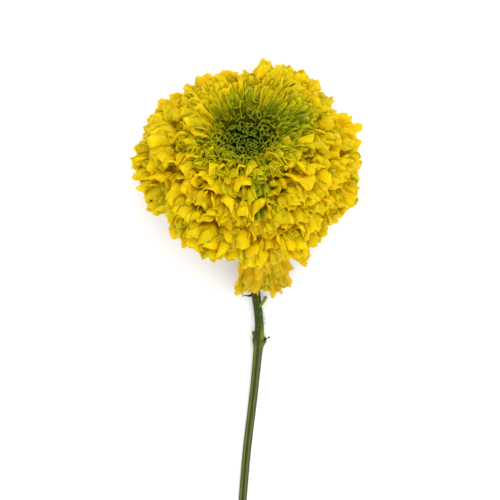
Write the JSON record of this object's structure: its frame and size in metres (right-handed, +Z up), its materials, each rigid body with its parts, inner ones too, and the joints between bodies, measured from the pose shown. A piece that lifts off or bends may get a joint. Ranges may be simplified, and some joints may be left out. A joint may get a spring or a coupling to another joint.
{
  "type": "african marigold flower",
  "caption": "Cut double marigold bloom with ruffled petals round a sunken eye, on a ridged stem, lying on a flat surface.",
  "frame": {"origin": "on the surface that the flower lies on, under the middle of its bounding box", "axes": "+Z up from the surface, +Y from the stem's cut end towards the bloom, +X to the right seen from above"},
  "size_m": [0.0963, 0.2118, 0.0714],
  "materials": {
    "ray_petal": "matt bright yellow petal with fine veins",
    "trumpet_petal": "matt yellow-green petal",
    "eye_petal": "matt green floret",
    "calyx": "matt green bracts with fine ribs",
    "stem": "satin green stem with ridges, hairs and dark grooves",
    "withered": "dry brown plant fibre"
  },
  "bodies": {
    "root": {"ray_florets": "ray_petal", "trumpet_florets": "trumpet_petal", "eye_florets": "eye_petal", "calyx": "calyx", "stem": "stem", "withered_bract": "withered", "withered_stalk": "withered"}
  },
  "joints": []
}
